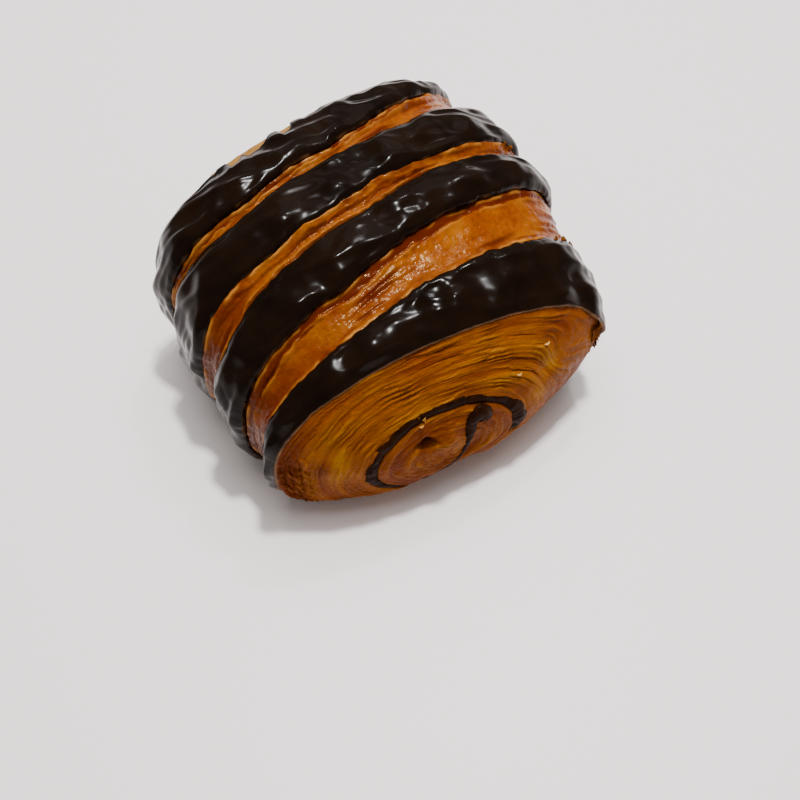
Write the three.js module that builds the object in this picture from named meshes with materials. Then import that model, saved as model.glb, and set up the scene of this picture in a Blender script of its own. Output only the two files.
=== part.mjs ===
// Bicolour pain au chocolat: one laminated roll of croissant dough, baked in one piece.
// Four strips of cocoa dough hoop round it, with plain dough showing in the three gaps
// between them, and each end shows the spiral of the roll.
// Millimetres, +Z up. The roll lies along Y on its flat baked base. The end with the wide
// cocoa band faces -Y, and X runs across the roll, its longest way.

import * as THREE from 'three';

// Driving dimensions.
const WIDTH = 100; // across the roll at its fattest
const HEIGHT = 56; // from the base to the crest at its tallest
const BAND_RISE = 1.6; // cocoa bands stand this proud of the plain dough
const GAP_SAG = 0.7; // the dough sinks this much in the middle of a gap
const BAND_LIP = 0.14; // share of a band's breadth taken by its rounded shoulder

// Section of the roll: a low arch over flanks that tuck in to a flat base.
const WAIST = 0.48; // height of the widest line, as a share of the height
const CROWN_POWER = 0.78; // under 1 squares up the crown of the arch
const FLANK_POWER = 0.81; // under 1 squares up the shoulders of the arch
const BASE_LEFT = 0.74; // half-width of the base, as a share of the half-width, on -X
const BASE_RIGHT = 0.54; // the same on +X, where the flank is tucked under further
const TUCK_RIGHT = 1.6; // over 1 flattens the tucked flank on +X
const WAIST_LEFT_AT = 0.16; // where the widest lines fall along the arch, from 0 to 1
const WAIST_RIGHT_AT = 0.84;

// Barrel shape: how the section shrinks away from the roll's fattest place.
const FATTEST_Y = 9;
const REACH = 39; // distance from there at which the shares below apply
const WIDTH_LOSS = 0.107;
const HEIGHT_LOSS = 0.163;
const WIDTH_LEAN = -0.03; // the back end is a little narrower than the front
const HEIGHT_LEAN = 0.018; // and a little taller

// Edges of the cocoa bands from the front rim to the back rim, as y on the left flank,
// on the crest and on the right flank. The bands were laid on askew, so the roll is longer
// on its right flank.
const FLANK_X = 45;
const EDGES = [
  { left: -35.5, crest: -33.5, right: -36.5 },
  { left: -30.5, crest: -21.5, right: -19 },
  { left: -22.5, crest: -10.5, right: -3.5 },
  { left: -10.5, crest: 1.5, right: 7 },
  { left: -4, crest: 6, right: 12.5 },
  { left: 11, crest: 19, right: 29 },
  { left: 15.5, crest: 23.5, right: 42 },
  { left: 27.5, crest: 37, right: 46 },
];

// Spiral ends: the heart of the roll has pushed out past the rim while baking.
const FRONT_END = { heartX: -3, heartZ: 13, push: 13.5, roundness: 2.2, facing: -1 };
const BACK_END = { heartX: 3, heartZ: 18, push: 5, roundness: 2.2, facing: 1 };
const SPIRAL_TURNS = 3;
const SPIRAL_RIDGE = 0.6; // height of the laminated turns on the end faces

// Fineness of the mesh.
const ARCH_STEPS = 46; // along the arch, from one corner of the base to the other
const BASE_STEPS = 8; // across the base
const BAND_STEPS = 3; // between the shoulders of one cocoa band
const GAP_STEPS = 2; // across one gap
const END_RINGS = 11; // from the rim to the heart of an end face

const LOOP_POINTS = ARCH_STEPS + BASE_STEPS;

// y of an edge at a place x across the roll: a parabola through its three given places.
function edgeY(edge, x) {
  const side = x / FLANK_X;
  const skew = (edge.right - edge.left) / 2;
  const bow = (edge.left + edge.right) / 2 - edge.crest;
  return edge.crest + skew * side + bow * side * side;
}

function mixEdges(a, b, share) {
  return {
    left: THREE.MathUtils.lerp(a.left, b.left, share),
    crest: THREE.MathUtils.lerp(a.crest, b.crest, share),
    right: THREE.MathUtils.lerp(a.right, b.right, share),
  };
}

// Point of the plain dough's section at y. along runs from 0 at the left corner of the base,
// over the crest, to 1 at the right corner.
function sectionPoint(along, y) {
  const t = (y - FATTEST_Y) / REACH;
  const half = (WIDTH / 2 - BAND_RISE) * (1 - WIDTH_LOSS * t * t + WIDTH_LEAN * t);
  const tall = (HEIGHT - BAND_RISE) * (1 - HEIGHT_LOSS * t * t + HEIGHT_LEAN * t);
  const waist = WAIST * tall;
  if (along < WAIST_LEFT_AT) {
    const turn = ((1 - along / WAIST_LEFT_AT) * Math.PI) / 2;
    const x = -half * (BASE_LEFT + (1 - BASE_LEFT) * Math.cos(turn));
    return new THREE.Vector2(x, waist * (1 - Math.sin(turn)));
  }
  if (along > WAIST_RIGHT_AT) {
    const turn = (((along - WAIST_RIGHT_AT) / (1 - WAIST_RIGHT_AT)) * Math.PI) / 2;
    const x = half * (BASE_RIGHT + (1 - BASE_RIGHT) * Math.cos(turn) ** TUCK_RIGHT);
    return new THREE.Vector2(x, waist * (1 - Math.sin(turn)));
  }
  const turn = ((along - WAIST_LEFT_AT) / (WAIST_RIGHT_AT - WAIST_LEFT_AT)) * Math.PI;
  const cos = Math.cos(turn);
  const x = -half * Math.sign(cos) * Math.abs(cos) ** FLANK_POWER;
  return new THREE.Vector2(x, waist + (tall - waist) * Math.sin(turn) ** CROWN_POWER);
}

// One closed loop round the roll at an edge, lifted off the plain dough by rise.
function hoop(edge, rise) {
  const points = [];
  for (let i = 0; i <= ARCH_STEPS; i += 1) {
    const along = i / ARCH_STEPS;
    let y = edge.crest;
    let flat = sectionPoint(along, y);
    for (let pass = 0; pass < 4; pass += 1) {
      y = edgeY(edge, flat.x);
      flat = sectionPoint(along, y);
    }
    const step = 0.5 / ARCH_STEPS;
    const before = sectionPoint(Math.max(along - step, 0), y);
    const after = sectionPoint(Math.min(along + step, 1), y);
    const tangent = after.sub(before).normalize();
    const clear = Math.min(flat.y / (3 * BAND_RISE), 1);
    const x = flat.x - tangent.y * rise * clear;
    const z = flat.y + tangent.x * rise * clear;
    points.push(new THREE.Vector3(x, y, i === 0 || i === ARCH_STEPS ? 0 : Math.max(z, 0)));
  }
  const first = points[0];
  const last = points[ARCH_STEPS];
  for (let i = 1; i < BASE_STEPS; i += 1) {
    const x = THREE.MathUtils.lerp(last.x, first.x, i / BASE_STEPS);
    points.push(new THREE.Vector3(x, edgeY(edge, x), 0));
  }
  return points;
}

// Height of a cocoa band above the plain dough, across its breadth from 0 to 1.
function bandRise(share) {
  const shoulder = Math.min(share, 1 - share) / BAND_LIP;
  return shoulder >= 1 ? BAND_RISE : BAND_RISE * Math.sqrt(1 - (1 - shoulder) ** 2);
}

// Places across a band's breadth that get a loop: its two shoulders, and even steps between.
function bandShares() {
  const shares = [BAND_LIP / 2];
  for (let j = 0; j <= BAND_STEPS; j += 1) {
    shares.push(THREE.MathUtils.lerp(BAND_LIP, 1 - BAND_LIP, j / BAND_STEPS));
  }
  return [...shares, 1 - BAND_LIP / 2, 1];
}

function gapShares() {
  return Array.from({ length: GAP_STEPS }, (_, j) => (j + 1) / GAP_STEPS);
}

// Loops from the front rim to the back rim: a band, a gap, a band, and so on.
function rollHoops() {
  const hoops = [hoop(EDGES[0], 0)];
  for (let k = 0; k < EDGES.length - 1; k += 1) {
    const isBand = k % 2 === 0;
    const shares = isBand ? bandShares() : gapShares();
    for (const share of shares) {
      const rise = isBand ? bandRise(share) : -GAP_SAG * Math.sin(Math.PI * share);
      hoops.push(hoop(mixEdges(EDGES[k], EDGES[k + 1], share), rise));
    }
  }
  return hoops;
}

// Loops from a rim in to the heart of its spiral end, and the heart itself.
function endHoops(rim, edge, end) {
  const heart = new THREE.Vector3(end.heartX, edgeY(edge, end.heartX), end.heartZ);
  const loops = [];
  for (let ring = 1; ring < END_RINGS; ring += 1) {
    const share = 1 - ring / END_RINGS;
    const push = end.push * (1 - share ** end.roundness);
    loops.push(
      rim.map((point, i) => {
        const phase = SPIRAL_TURNS * share - i / LOOP_POINTS;
        const ridge = SPIRAL_RIDGE * Math.cos(2 * Math.PI * phase);
        const inner = new THREE.Vector3().lerpVectors(heart, point, share);
        inner.y += end.facing * (push + ridge * Math.sin(Math.PI * share));
        return inner;
      }),
    );
  }
  heart.y += end.facing * end.push;
  return { loops, heart };
}

// Closes the skin through every loop from the front heart to the back heart.
function skinLoops(frontHeart, loops, backHeart) {
  const points = [frontHeart, ...loops.flat(), backHeart];
  const faces = [];
  const at = (row, i) => 1 + row * LOOP_POINTS + (i % LOOP_POINTS);
  const lastRow = loops.length - 1;
  for (let i = 0; i < LOOP_POINTS; i += 1) {
    faces.push(0, at(0, i + 1), at(0, i));
    for (let row = 0; row < lastRow; row += 1) {
      faces.push(at(row, i), at(row + 1, i + 1), at(row + 1, i));
      faces.push(at(row, i), at(row, i + 1), at(row + 1, i + 1));
    }
    faces.push(at(lastRow, i), at(lastRow, i + 1), points.length - 1);
  }
  const geometry = new THREE.BufferGeometry().setFromPoints(points);
  geometry.setIndex(faces);
  return geometry;
}

function rollGeometry() {
  const body = rollHoops();
  const front = endHoops(body[0], EDGES[0], FRONT_END);
  const back = endHoops(body.at(-1), EDGES.at(-1), BACK_END);
  const loops = [...front.loops.reverse(), ...body, ...back.loops];
  const geometry = skinLoops(front.heart, loops, back.heart);
  geometry.computeBoundingBox();
  const centre = geometry.boundingBox.getCenter(new THREE.Vector3());
  geometry.translate(-centre.x, -centre.y, 0);
  geometry.computeVertexNormals();
  return geometry;
}

// Glazed cocoa dough, the colour that covers most of the roll.
const glazedDough = new THREE.MeshStandardMaterial({
  color: new THREE.Color(0.15, 0.095, 0.068),
  roughness: 0.25,
  metalness: 0,
});

const croissant = new THREE.Mesh(rollGeometry(), glazedDough);
croissant.name = 'croissant';

const group = new THREE.Group();
group.add(croissant);

export default group;
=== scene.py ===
import math
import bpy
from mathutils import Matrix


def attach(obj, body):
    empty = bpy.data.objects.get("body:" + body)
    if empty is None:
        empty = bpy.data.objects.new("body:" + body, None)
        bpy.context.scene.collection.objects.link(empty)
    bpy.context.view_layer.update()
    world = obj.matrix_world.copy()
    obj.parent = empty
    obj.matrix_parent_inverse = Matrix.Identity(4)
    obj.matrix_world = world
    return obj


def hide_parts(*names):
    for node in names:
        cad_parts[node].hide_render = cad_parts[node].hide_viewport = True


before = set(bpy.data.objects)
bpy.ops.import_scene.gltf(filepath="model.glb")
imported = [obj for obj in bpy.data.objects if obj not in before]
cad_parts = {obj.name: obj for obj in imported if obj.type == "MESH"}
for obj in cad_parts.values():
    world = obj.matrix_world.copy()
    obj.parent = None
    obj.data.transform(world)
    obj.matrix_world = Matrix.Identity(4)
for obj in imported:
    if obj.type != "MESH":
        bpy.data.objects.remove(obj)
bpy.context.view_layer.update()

from types import SimpleNamespace

import bpy
import numpy as np

MM = 0.001

# --- The roll, in millimetres: the same driving dimensions as the CAD model ---
WIDTH = 100.0
HEIGHT = 56.0
BAND_RISE = 1.6

WAIST = 0.48
CROWN_POWER = 0.78
FLANK_POWER = 0.81
BASE_LEFT = 0.74
BASE_RIGHT = 0.54
TUCK_RIGHT = 1.6
WAIST_LEFT_AT = 0.16
WAIST_RIGHT_AT = 0.84
# The right flank draws in towards the front: how far, over which y, and where on the flank.
FRONT_TUCK = 2.4
FRONT_TUCK_Y = (-18, -36)
FRONT_TUCK_ALONG = ((0.81, 0.90), (1.0, 0.97))

FATTEST_Y = 9.0
REACH = 39.0
WIDTH_LOSS = 0.107
HEIGHT_LOSS = 0.163
WIDTH_LEAN = -0.03
HEIGHT_LEAN = 0.018

# Band edges from the front rim to the back rim: y on the left flank, crest and right flank.
FLANK_X = 45.0
EDGES = np.array([
    [-35.5, -33.5, -36.5],
    [-30.5, -21.5, -19.0],
    [-22.5, -10.5, -3.5],
    [-10.5, 1.5, 7.0],
    [-4.0, 6.0, 12.5],
    [11.0, 19.0, 29.0],
    [15.5, 23.5, 42.0],
    [27.5, 37.0, 46.0],
])
FRONT_RIM, BACK_RIM = 0, 7
BANDS = [(0, 1), (2, 3), (4, 5), (6, 7)]
GAPS = [(1, 2), (3, 4), (5, 6)]

# The two ends. Places are (x, z): the heart that has pushed out, the chocolate ring's core
# and half sizes, the hollow and bulge, the knot where layers bunch up, the vein's path.
FRONT_END = dict(
    edge=FRONT_RIM, facing=-1, heart=(-3.0, 13.0), push=13.5, core=(-5.0, 18.5),
    ring=(19.3, 11.8), hollow=(-10.2, 23.0), bulge=(-5.0, 21.5), knot=(30.0, 28.5),
    vein=[(6.5, 22.5), (4.5, 25.2), (1.8, 24.2), (1.2, 21.0), (0.2, 17.5),
          (-1.6, 13.8), (-4.6, 10.6), (-9.0, 9.4), (-13.0, 10.6)],
)
BACK_END = dict(
    edge=BACK_RIM, facing=1, heart=(3.0, 18.0), push=5.0, core=(3.0, 20.0),
    ring=(17.5, 11.0), hollow=(7.0, 22.0), bulge=(2.5, 22.5), knot=(-27.0, 31.0),
    vein=[(-5.0, 24.0), (-2.5, 25.4), (-0.5, 23.5), (0.5, 20.0),
          (2.5, 16.0), (6.5, 13.2), (10.5, 14.0)],
)
ROUNDNESS = 2.2

# Fineness of the meshes.
ARCH_POINTS = 560
BASE_POINTS = 90
BAND_ROWS = 64
GAP_ROWS = 46


# --- Repeatable noise, and curves to shape it ---
# The integer hash that picks a slope for each point of the noise's lattice.
AXIS_PRIMES = (374761393, 668265263, 1103515245)
SEED_PRIME, SEED_START = 974634777, 60493
MIX_PRIME = 1274126177
LOW_32_BITS = 2**32 - 1
SLOPE_BITS = 9
SLOPE_MASK = 2**SLOPE_BITS - 1
NOISE_GAIN = 1.25


def noise(x, y, z, seed):
    """Smooth gradient noise, about -1 to 1, one unit between its lattice points."""
    x, y, z = np.broadcast_arrays(*(np.asarray(c, float) for c in (x, y, z)))
    cell = [np.floor(c).astype(np.int64) for c in (x, y, z)]
    part = [c - i for c, i in zip((x, y, z), cell)]
    fade = [f * f * f * (f * (f * 6 - 15) + 10) for f in part]
    total = np.zeros(x.shape)
    for corner in range(8):
        step = (corner & 1, corner >> 1 & 1, corner >> 2 & 1)
        key = seed * SEED_PRIME + SEED_START
        for i, s, prime in zip(cell, step, AXIS_PRIMES):
            key = key + (i + s) * prime
        key = (key ^ (key >> 15)) & LOW_32_BITS
        key = (key * MIX_PRIME) & LOW_32_BITS
        key = key ^ (key >> 14)
        weight = 1.0
        dot = 0.0
        for axis in range(3):
            slope = ((key >> (SLOPE_BITS * axis)) & SLOPE_MASK) / (SLOPE_MASK / 2) - 1
            dot = dot + slope * (part[axis] - step[axis])
            weight = weight * (fade[axis] if step[axis] else 1 - fade[axis])
        total = total + weight * dot
    return total * NOISE_GAIN


def lumps(s, t, octaves, layer, seed):
    """Added noises over (s, t), each (height, length along s, along t, seed step)."""
    return sum(
        height * noise(s / along, t / across, layer, seed + step)
        for height, along, across, step in octaves
    )


def smooth(low, high, value):
    """0 at low and 1 at high, eased between them; low may be the greater."""
    t = np.clip((value - low) / (high - low), 0, 1)
    return t * t * (3 - 2 * t)


def hill(value, rise, fall):
    """1 between two slopes, each given as its 0 place and its 1 place."""
    return smooth(*rise, value) * smooth(*fall, value)


def bell(value, width):
    """1 where value is 0, dying away over a few widths."""
    return np.exp(-((value / width) ** 2))


def mound(x, z, centre, size):
    """A bell over both x and z."""
    return bell(x - centre[0], size[0]) * bell(z - centre[1], size[1])


def crack(value, low, high):
    """1 along the lines where a noise crosses 0."""
    return 1 - smooth(low, high, np.abs(value))


SPOT_STRETCH = (1.0, 2.2)
SPOT_PEAK = (0.4, 1.0)


def spots(s, t, span, count, radius, seed):
    """Round spots scattered over (s, t), each a smooth dome from 0 to 1; the highest wins."""
    rng = np.random.default_rng(seed)
    height = np.zeros(s.shape)
    for _ in range(count):
        spot_s, spot_t = rng.uniform(*span[0]), rng.uniform(*span[1])
        r = rng.uniform(*radius)
        stretch = rng.uniform(*SPOT_STRETCH)
        peak = rng.uniform(*SPOT_PEAK)
        near = np.abs(s[:, 0] - spot_s) < r * stretch
        if not near.any():
            continue
        d2 = ((s[near] - spot_s) / (r * stretch)) ** 2 + ((t[near] - spot_t) / r) ** 2
        height[near] = np.maximum(height[near], peak * np.clip(1 - d2, 0, 1) ** 1.5)
    return height


# --- Shape of the plain roll ---
def section(along, y):
    """(x, z) of the plain roll at y. along is 0 at the base's left corner, 1 at its right."""
    t = (y - FATTEST_Y) / REACH
    half = (WIDTH / 2 - BAND_RISE) * (1 - WIDTH_LOSS * t * t + WIDTH_LEAN * t)
    tall = (HEIGHT - BAND_RISE) * (1 - HEIGHT_LOSS * t * t + HEIGHT_LEAN * t)
    waist = WAIST * tall
    turn = np.clip((along - WAIST_LEFT_AT) / (WAIST_RIGHT_AT - WAIST_LEFT_AT), 0, 1) * np.pi
    cos, sin = np.cos(turn), np.sin(turn)
    x = -half * np.sign(cos) * np.abs(cos) ** FLANK_POWER
    z = waist + (tall - waist) * np.abs(sin) ** CROWN_POWER
    left = np.clip(1 - along / WAIST_LEFT_AT, 0, 1) * np.pi / 2
    right = np.clip((along - WAIST_RIGHT_AT) / (1 - WAIST_RIGHT_AT), 0, 1) * np.pi / 2
    x_left = -half * (BASE_LEFT + (1 - BASE_LEFT) * np.cos(left))
    x_right = half * (BASE_RIGHT + (1 - BASE_RIGHT) * np.cos(right) ** TUCK_RIGHT)
    on_left, on_right = along < WAIST_LEFT_AT, along > WAIST_RIGHT_AT
    x = np.where(on_left, x_left, np.where(on_right, x_right, x))
    z = np.where(on_left, waist * (1 - np.sin(left)), z)
    z = np.where(on_right, waist * (1 - np.sin(right)), z)
    return x - FRONT_TUCK * smooth(*FRONT_TUCK_Y, y) * hill(along, *FRONT_TUCK_ALONG), z


def even_places(count):
    """Values of along at even steps over the arch, ends included; and its length."""
    fine = np.linspace(0, 1, 4001)
    x, z = section(fine, np.full_like(fine, FATTEST_Y))
    length = np.concatenate([[0], np.cumsum(np.hypot(np.diff(x), np.diff(z)))])
    return np.interp(np.linspace(0, length[-1], count), length, fine), length[-1]


ARCH, ARCH_LENGTH = even_places(ARCH_POINTS)
LOOP_POINTS = ARCH_POINTS + BASE_POINTS
BASE_LENGTH = (BASE_LEFT + BASE_RIGHT) * (WIDTH / 2 - BAND_RISE)
BASE_SHARE = np.arange(1, BASE_POINTS + 1) / (BASE_POINTS + 1)
# Length along the loop from the base's left corner, in millimetres.
LOOP_S = np.concatenate([
    np.linspace(0, ARCH_LENGTH, ARCH_POINTS),
    ARCH_LENGTH + BASE_LENGTH * BASE_SHARE,
])


def loop_xz(y):
    """(x, z) round the whole closed loop, for y of shape (LOOP_POINTS, rows)."""
    x, z = section(ARCH[:, None], y[:ARCH_POINTS])
    base_y = y[ARCH_POINTS:]
    x_right, _ = section(np.ones_like(base_y), base_y)
    x_left, _ = section(np.zeros_like(base_y), base_y)
    base_x = x_right + (x_left - x_right) * BASE_SHARE[:, None]
    return np.concatenate([x, base_x]), np.concatenate([z, np.zeros_like(base_x)])


def edge_y(edge, x):
    """y of a band edge at x, on a parabola through its left, crest and right values."""
    side = x / FLANK_X
    skew = (edge[..., 2] - edge[..., 0]) / 2
    bow = (edge[..., 0] + edge[..., 2]) / 2 - edge[..., 1]
    return edge[..., 1] + skew * side + bow * side * side


def settled_loop(edge, stray):
    """(x, y, z) of loops that follow an edge and stray from it."""
    y = np.broadcast_to(edge[..., 1], stray.shape)
    for _ in range(4):
        x, _ = loop_xz(y)
        y = edge_y(edge, x) + stray
    x, z = loop_xz(y)
    return x, y, z


# How edges stray: (millimetres, length along the edge, place in the noise, step in it from
# edge to edge, seed) for each size of wave.
WANDER = [(1.1, 17, 0.7, 3.3, 7), (0.6, 6.5, 1.9, 2.1, 8)]
RIM_WANDER = {
    FRONT_RIM: [(0.35, 9, 3.1, 1, 5), (0.12, 1.7, 1.3, 1, 6)],
    BACK_RIM: [(1.3, 9, 3.1, 1, 5), (0.5, 3.4, 1.3, 1, 6)],
}
# Fine tearing of the edges between bands and gaps, which dies out within FRAY_REACH of them.
TEARING = [(0.42, 2.4, 0.4, 1.7, 9), (0.10, 1.1, 0.9, 1, 10)]
FRAY_REACH = 1.6


def edge_noise(k, waves):
    """Straying of edge k round the loop, in millimetres."""
    return sum((
        height * noise(LOOP_S / length, place, k * step, seed)
        for height, length, place, step, seed in waves
    ), 0 * LOOP_S)


STRAY = np.stack([edge_noise(k, RIM_WANDER.get(k, WANDER)) for k in range(len(EDGES))])
FRAY = np.stack([edge_noise(k, [] if k in RIM_WANDER else TEARING) for k in range(len(EDGES))])
# The ends keep their own rims; the front band draws back from the crisp lower left corner.
RIM_STRAY = {rim: STRAY[rim].copy() for rim in RIM_WANDER}
CORNER_RETREAT = 3.6
CORNER_S = (32, 4)
BASE_RETREAT_LENGTH = 30
STRAY[FRONT_RIM] += CORNER_RETREAT * smooth(*CORNER_S, LOOP_S)
STRAY[FRONT_RIM] += CORNER_RETREAT * smooth(ARCH_LENGTH, ARCH_LENGTH + BASE_RETREAT_LENGTH, LOOP_S)
# Bare dough peeps out in patches past the back band at the upper left.
PEEP = 2.3
PEEP_S = ((62, 70), (96, 88))
PEEP_PATCHES = smooth(-0.12, 0.2, noise(LOOP_S / 4.2, 0.2, 0.4, 12))
STRAY[BACK_RIM] -= PEEP * hill(LOOP_S, *PEEP_S) * PEEP_PATCHES
# The front band overhangs as a lip at its right corner.
OVERHANG = 1.4
OVERHANG_S = ((136, 144), (158, 152))
STRAY[FRONT_RIM] -= OVERHANG * hill(LOOP_S, *OVERHANG_S)


def plain_skin(front, back, share):
    """Points of the plain roll between two band edges, (LOOP_POINTS, rows, 3)."""
    edge = EDGES[front] + (EDGES[back] - EDGES[front]) * share[:, None]
    stray = STRAY[front][:, None] + (STRAY[back] - STRAY[front])[:, None] * share[None]
    breadth = np.mean(EDGES[back] - EDGES[front])
    for k, distance in ((front, share * breadth), (back, (1 - share) * breadth)):
        stray = stray + FRAY[k][:, None] * bell(distance, FRAY_REACH)[None]
    return np.stack(settled_loop(edge[None], stray), -1)


def outward(points):
    """Unit normals of a grid that closes round its first way and is open across."""
    along = np.roll(points, -1, 0) - np.roll(points, 1, 0)
    across = np.gradient(points, axis=1)
    normal = np.cross(along, across)
    return normal / np.maximum(np.linalg.norm(normal, axis=-1, keepdims=True), 1e-9)


def raised(skin, height, lowest):
    """The skin with its relief, which fades out on the flat base; no point below lowest."""
    clear = smooth(0.0, 5.0, skin[..., 2])
    outer = skin + outward(skin) * (height * clear)[..., None]
    outer[..., 2] = np.maximum(outer[..., 2], lowest)
    return outer


def baked(points):
    """1 on the flat base, where the tray has browned it, fading out just above."""
    return smooth(2.5, 0.2, points[..., 2])


# --- Meshes ---
def add_mesh(name, points, faces, material, fields=None, uv=None):
    """One smooth piece that rides on the root and stands for the CAD croissant."""
    mesh = bpy.data.meshes.new(name)
    mesh.from_pydata((points * MM).tolist(), [], [list(map(int, face)) for face in faces])
    for label, values in (fields or {}).items():
        layer = mesh.attributes.new(label, "FLOAT", "POINT")
        layer.data.foreach_set("value", np.asarray(values, np.float32).ravel())
    if uv is not None:
        layer = mesh.uv_layers.new(name="OFBake")
        layer.data.foreach_set("uv", np.asarray(uv, np.float32).ravel())
    mesh.polygons.foreach_set("use_smooth", np.ones(len(mesh.polygons), bool))
    mesh.materials.append(material)
    mesh.update()
    piece = bpy.data.objects.new(name, mesh)
    bpy.context.scene.collection.objects.link(piece)
    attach(piece, "root")
    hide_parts("croissant")


def cell_corners(i, j):
    """The four corners of grid cells, in the order of their faces."""
    return (i, j), (i + 1, j), (i + 1, j + 1), (i, j + 1)


def stacked(arrays):
    """Arrays of one broadcast shape, side by side along a new last way."""
    return np.stack(np.broadcast_arrays(*arrays), -1)


def grid_faces(loop, rows, gaps):
    """Faces and UV of a grid that closes round its first way."""
    i = np.arange(loop)[:, None]
    j = np.arange(gaps)[None]
    corners = cell_corners(i, j)
    faces = stacked([a % loop * rows + b % rows for a, b in corners])
    uv = np.stack([stacked([a / loop, b / rows]) for a, b in corners], axis=2)
    return faces.reshape(-1, 4), uv.reshape(-1, 4, 2)


# The inner face of a band or gap: how far it is drawn in at its sides, and its lowest point.
INNER_INSET = 0.2
INNER_LOWEST = 0.15


def closed_ring(name, outer, depth, material, fields):
    """A piece right round the roll: its outer grid, and an inner face depth below."""
    rows = outer.shape[1]
    picks = [rows - 1, rows // 2, 0]
    inner = outer[:, picks] - depth * outward(outer)[:, picks]
    inner[:, [0, 2]] += INNER_INSET * (inner[:, [1]] - inner[:, [0, 2]])
    inner[..., 2] = np.maximum(inner[..., 2], INNER_LOWEST)
    grid = np.concatenate([outer, inner], axis=1)
    faces, uv = grid_faces(LOOP_POINTS, grid.shape[1], grid.shape[1])
    values = {label: np.concatenate([f, f[:, picks]], axis=1) for label, f in fields.items()}
    add_mesh(name, grid.reshape(-1, 3), faces, material, values, uv)


# --- Materials ---
# Sockets of a Mix node set to colours: its factor, A and B.
MIX_COLOUR_SOCKETS = (0, 6, 7)


class Nodes:
    """A short way to write a material's node tree."""

    def __init__(self, name):
        self.material = bpy.data.materials.new(name)
        self.material.use_nodes = True
        self.tree = self.material.node_tree
        self.shader = self.tree.nodes["Principled BSDF"]
        self.place = self.add("ShaderNodeTexCoord").outputs["Object"]

    def put(self, value, socket):
        """Sets a socket to a constant, or links it to another socket."""
        if isinstance(value, bpy.types.NodeSocket):
            self.tree.links.new(value, socket)
        else:
            socket.default_value = value

    def add(self, kind, inputs=None, **settings):
        """A new node with these properties and inputs."""
        node = self.tree.nodes.new(kind)
        for key, value in settings.items():
            setattr(node, key, value)
        for key, value in (inputs or {}).items():
            self.put(value, node.inputs[key])
        return node

    def field(self, label):
        """A value that the mesh carries at each point."""
        return self.add("ShaderNodeAttribute", attribute_name=label).outputs["Fac"]

    def grain(self, vector, scale, detail, roughness):
        """Noise over any vector."""
        inputs = {"Vector": vector, "Scale": scale, "Detail": detail, "Roughness": roughness}
        return self.add("ShaderNodeTexNoise", inputs).outputs["Fac"]

    def noise(self, size_mm, detail=3.0, roughness=0.55, stretch=(1, 1, 1)):
        """Noise with features about size_mm across, stretched along the given axes."""
        inputs = {"Vector": self.place, "Scale": tuple(1 / s for s in stretch)}
        place = self.add("ShaderNodeMapping", inputs).outputs["Vector"]
        return self.grain(place, 1 / (size_mm * MM), detail, roughness)

    def ramp(self, source, stops):
        """stops: (position, colour or grey level) pairs."""
        node = self.add("ShaderNodeValToRGB", {"Fac": source})
        elements = node.color_ramp.elements
        while len(elements) < len(stops):
            elements.new(0.5)
        for element, (position, colour) in zip(elements, stops):
            element.position = position
            element.color = (*colour, 1) if isinstance(colour, tuple) else (*[colour] * 3, 1)
        return node.outputs["Color"]

    def mix(self, share, first, second, blend="MIX"):
        """Two colours mixed; each argument is a socket or a constant."""
        inputs = {
            place: (*value, 1) if isinstance(value, tuple) else value
            for place, value in zip(MIX_COLOUR_SOCKETS, (share, first, second))
        }
        return self.add("ShaderNodeMix", inputs, data_type="RGBA", blend_type=blend).outputs[2]

    def bump(self, height, depth_mm, below=None):
        """Bump of that depth, on top of another bump if below is given."""
        inputs = {"Strength": 1.0, "Distance": depth_mm * MM, "Height": height}
        if below is not None:
            inputs["Normal"] = below
        return self.add("ShaderNodeBump", inputs).outputs["Normal"]

    def set(self, **values):
        """Sets or links sockets of the Principled shader; _ stands for a space."""
        for key, value in values.items():
            self.put(value, self.shader.inputs[key.replace("_", " ")])


def cocoa_material():
    """Near-black cocoa dough under a thick clear glaze."""
    n = Nodes("cocoa_dough")
    colour = n.ramp(n.noise(9, 4), [
        (0.3, (0.0035, 0.0014, 0.0006)),
        (0.7, (0.0085, 0.0034, 0.0013)),
    ])
    worn = n.mix(n.field("edge"), colour, (0.20, 0.085, 0.028))
    n.set(Base_Color=n.mix(n.field("baked"), worn, (0.030, 0.014, 0.007)))
    smooth_glaze = n.ramp(n.noise(6, 4), [(0.3, 0.11), (0.7, 0.25)])
    n.set(Roughness=n.mix(n.field("baked"), smooth_glaze, (0.6, 0.6, 0.6)))
    n.set(Normal=n.bump(n.noise(2.6, 2, 0.4), 0.02), IOR=1.18)
    return n.material


def plain_material():
    """Glossy amber dough, with painted shade in dark red-brown and a painted highlight on its
    raised lips.
    """
    n = Nodes("plain_dough")
    amber = n.ramp(n.noise(8, 4), [
        (0.25, (0.14, 0.018, 0.0001)),
        (0.5, (0.235, 0.050, 0.0002)),
        (0.78, (0.325, 0.098, 0.0008)),
    ])
    streaks = n.ramp(n.noise(1.3, 4), [(0.35, 0.62), (0.62, 1.0)])
    amber = n.mix(0.7, amber, streaks, "MULTIPLY")
    # Painted shade: dark red-brown at the feet of steps and tears, under folds, beside the bands
    # and low on the sides.
    torn = n.mix(n.field("torn"), amber, (0.075, 0.0065, 0.0003))
    # Painted highlight: the pale colour on the raised lips and brims.
    lit_lip = n.mix(n.field("lit_lip"), torn, (0.50, 0.20, 0.03))
    n.set(Base_Color=n.mix(n.field("baked"), lit_lip, (0.20, 0.055, 0.006)))
    shine = n.ramp(n.noise(2.2, 4), [(0.3, 0.13), (0.7, 0.28)])
    n.set(Roughness=n.mix(n.field("baked"), shine, (0.6, 0.6, 0.6)))
    grain = n.bump(n.noise(0.75, 2, 0.6), 0.08)
    n.set(Normal=n.bump(n.noise(3.0, 2), 0.25, grain))
    n.set(IOR=1.24, Specular_Tint=(1.0, 0.74, 0.38, 1))
    return n.material


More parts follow.
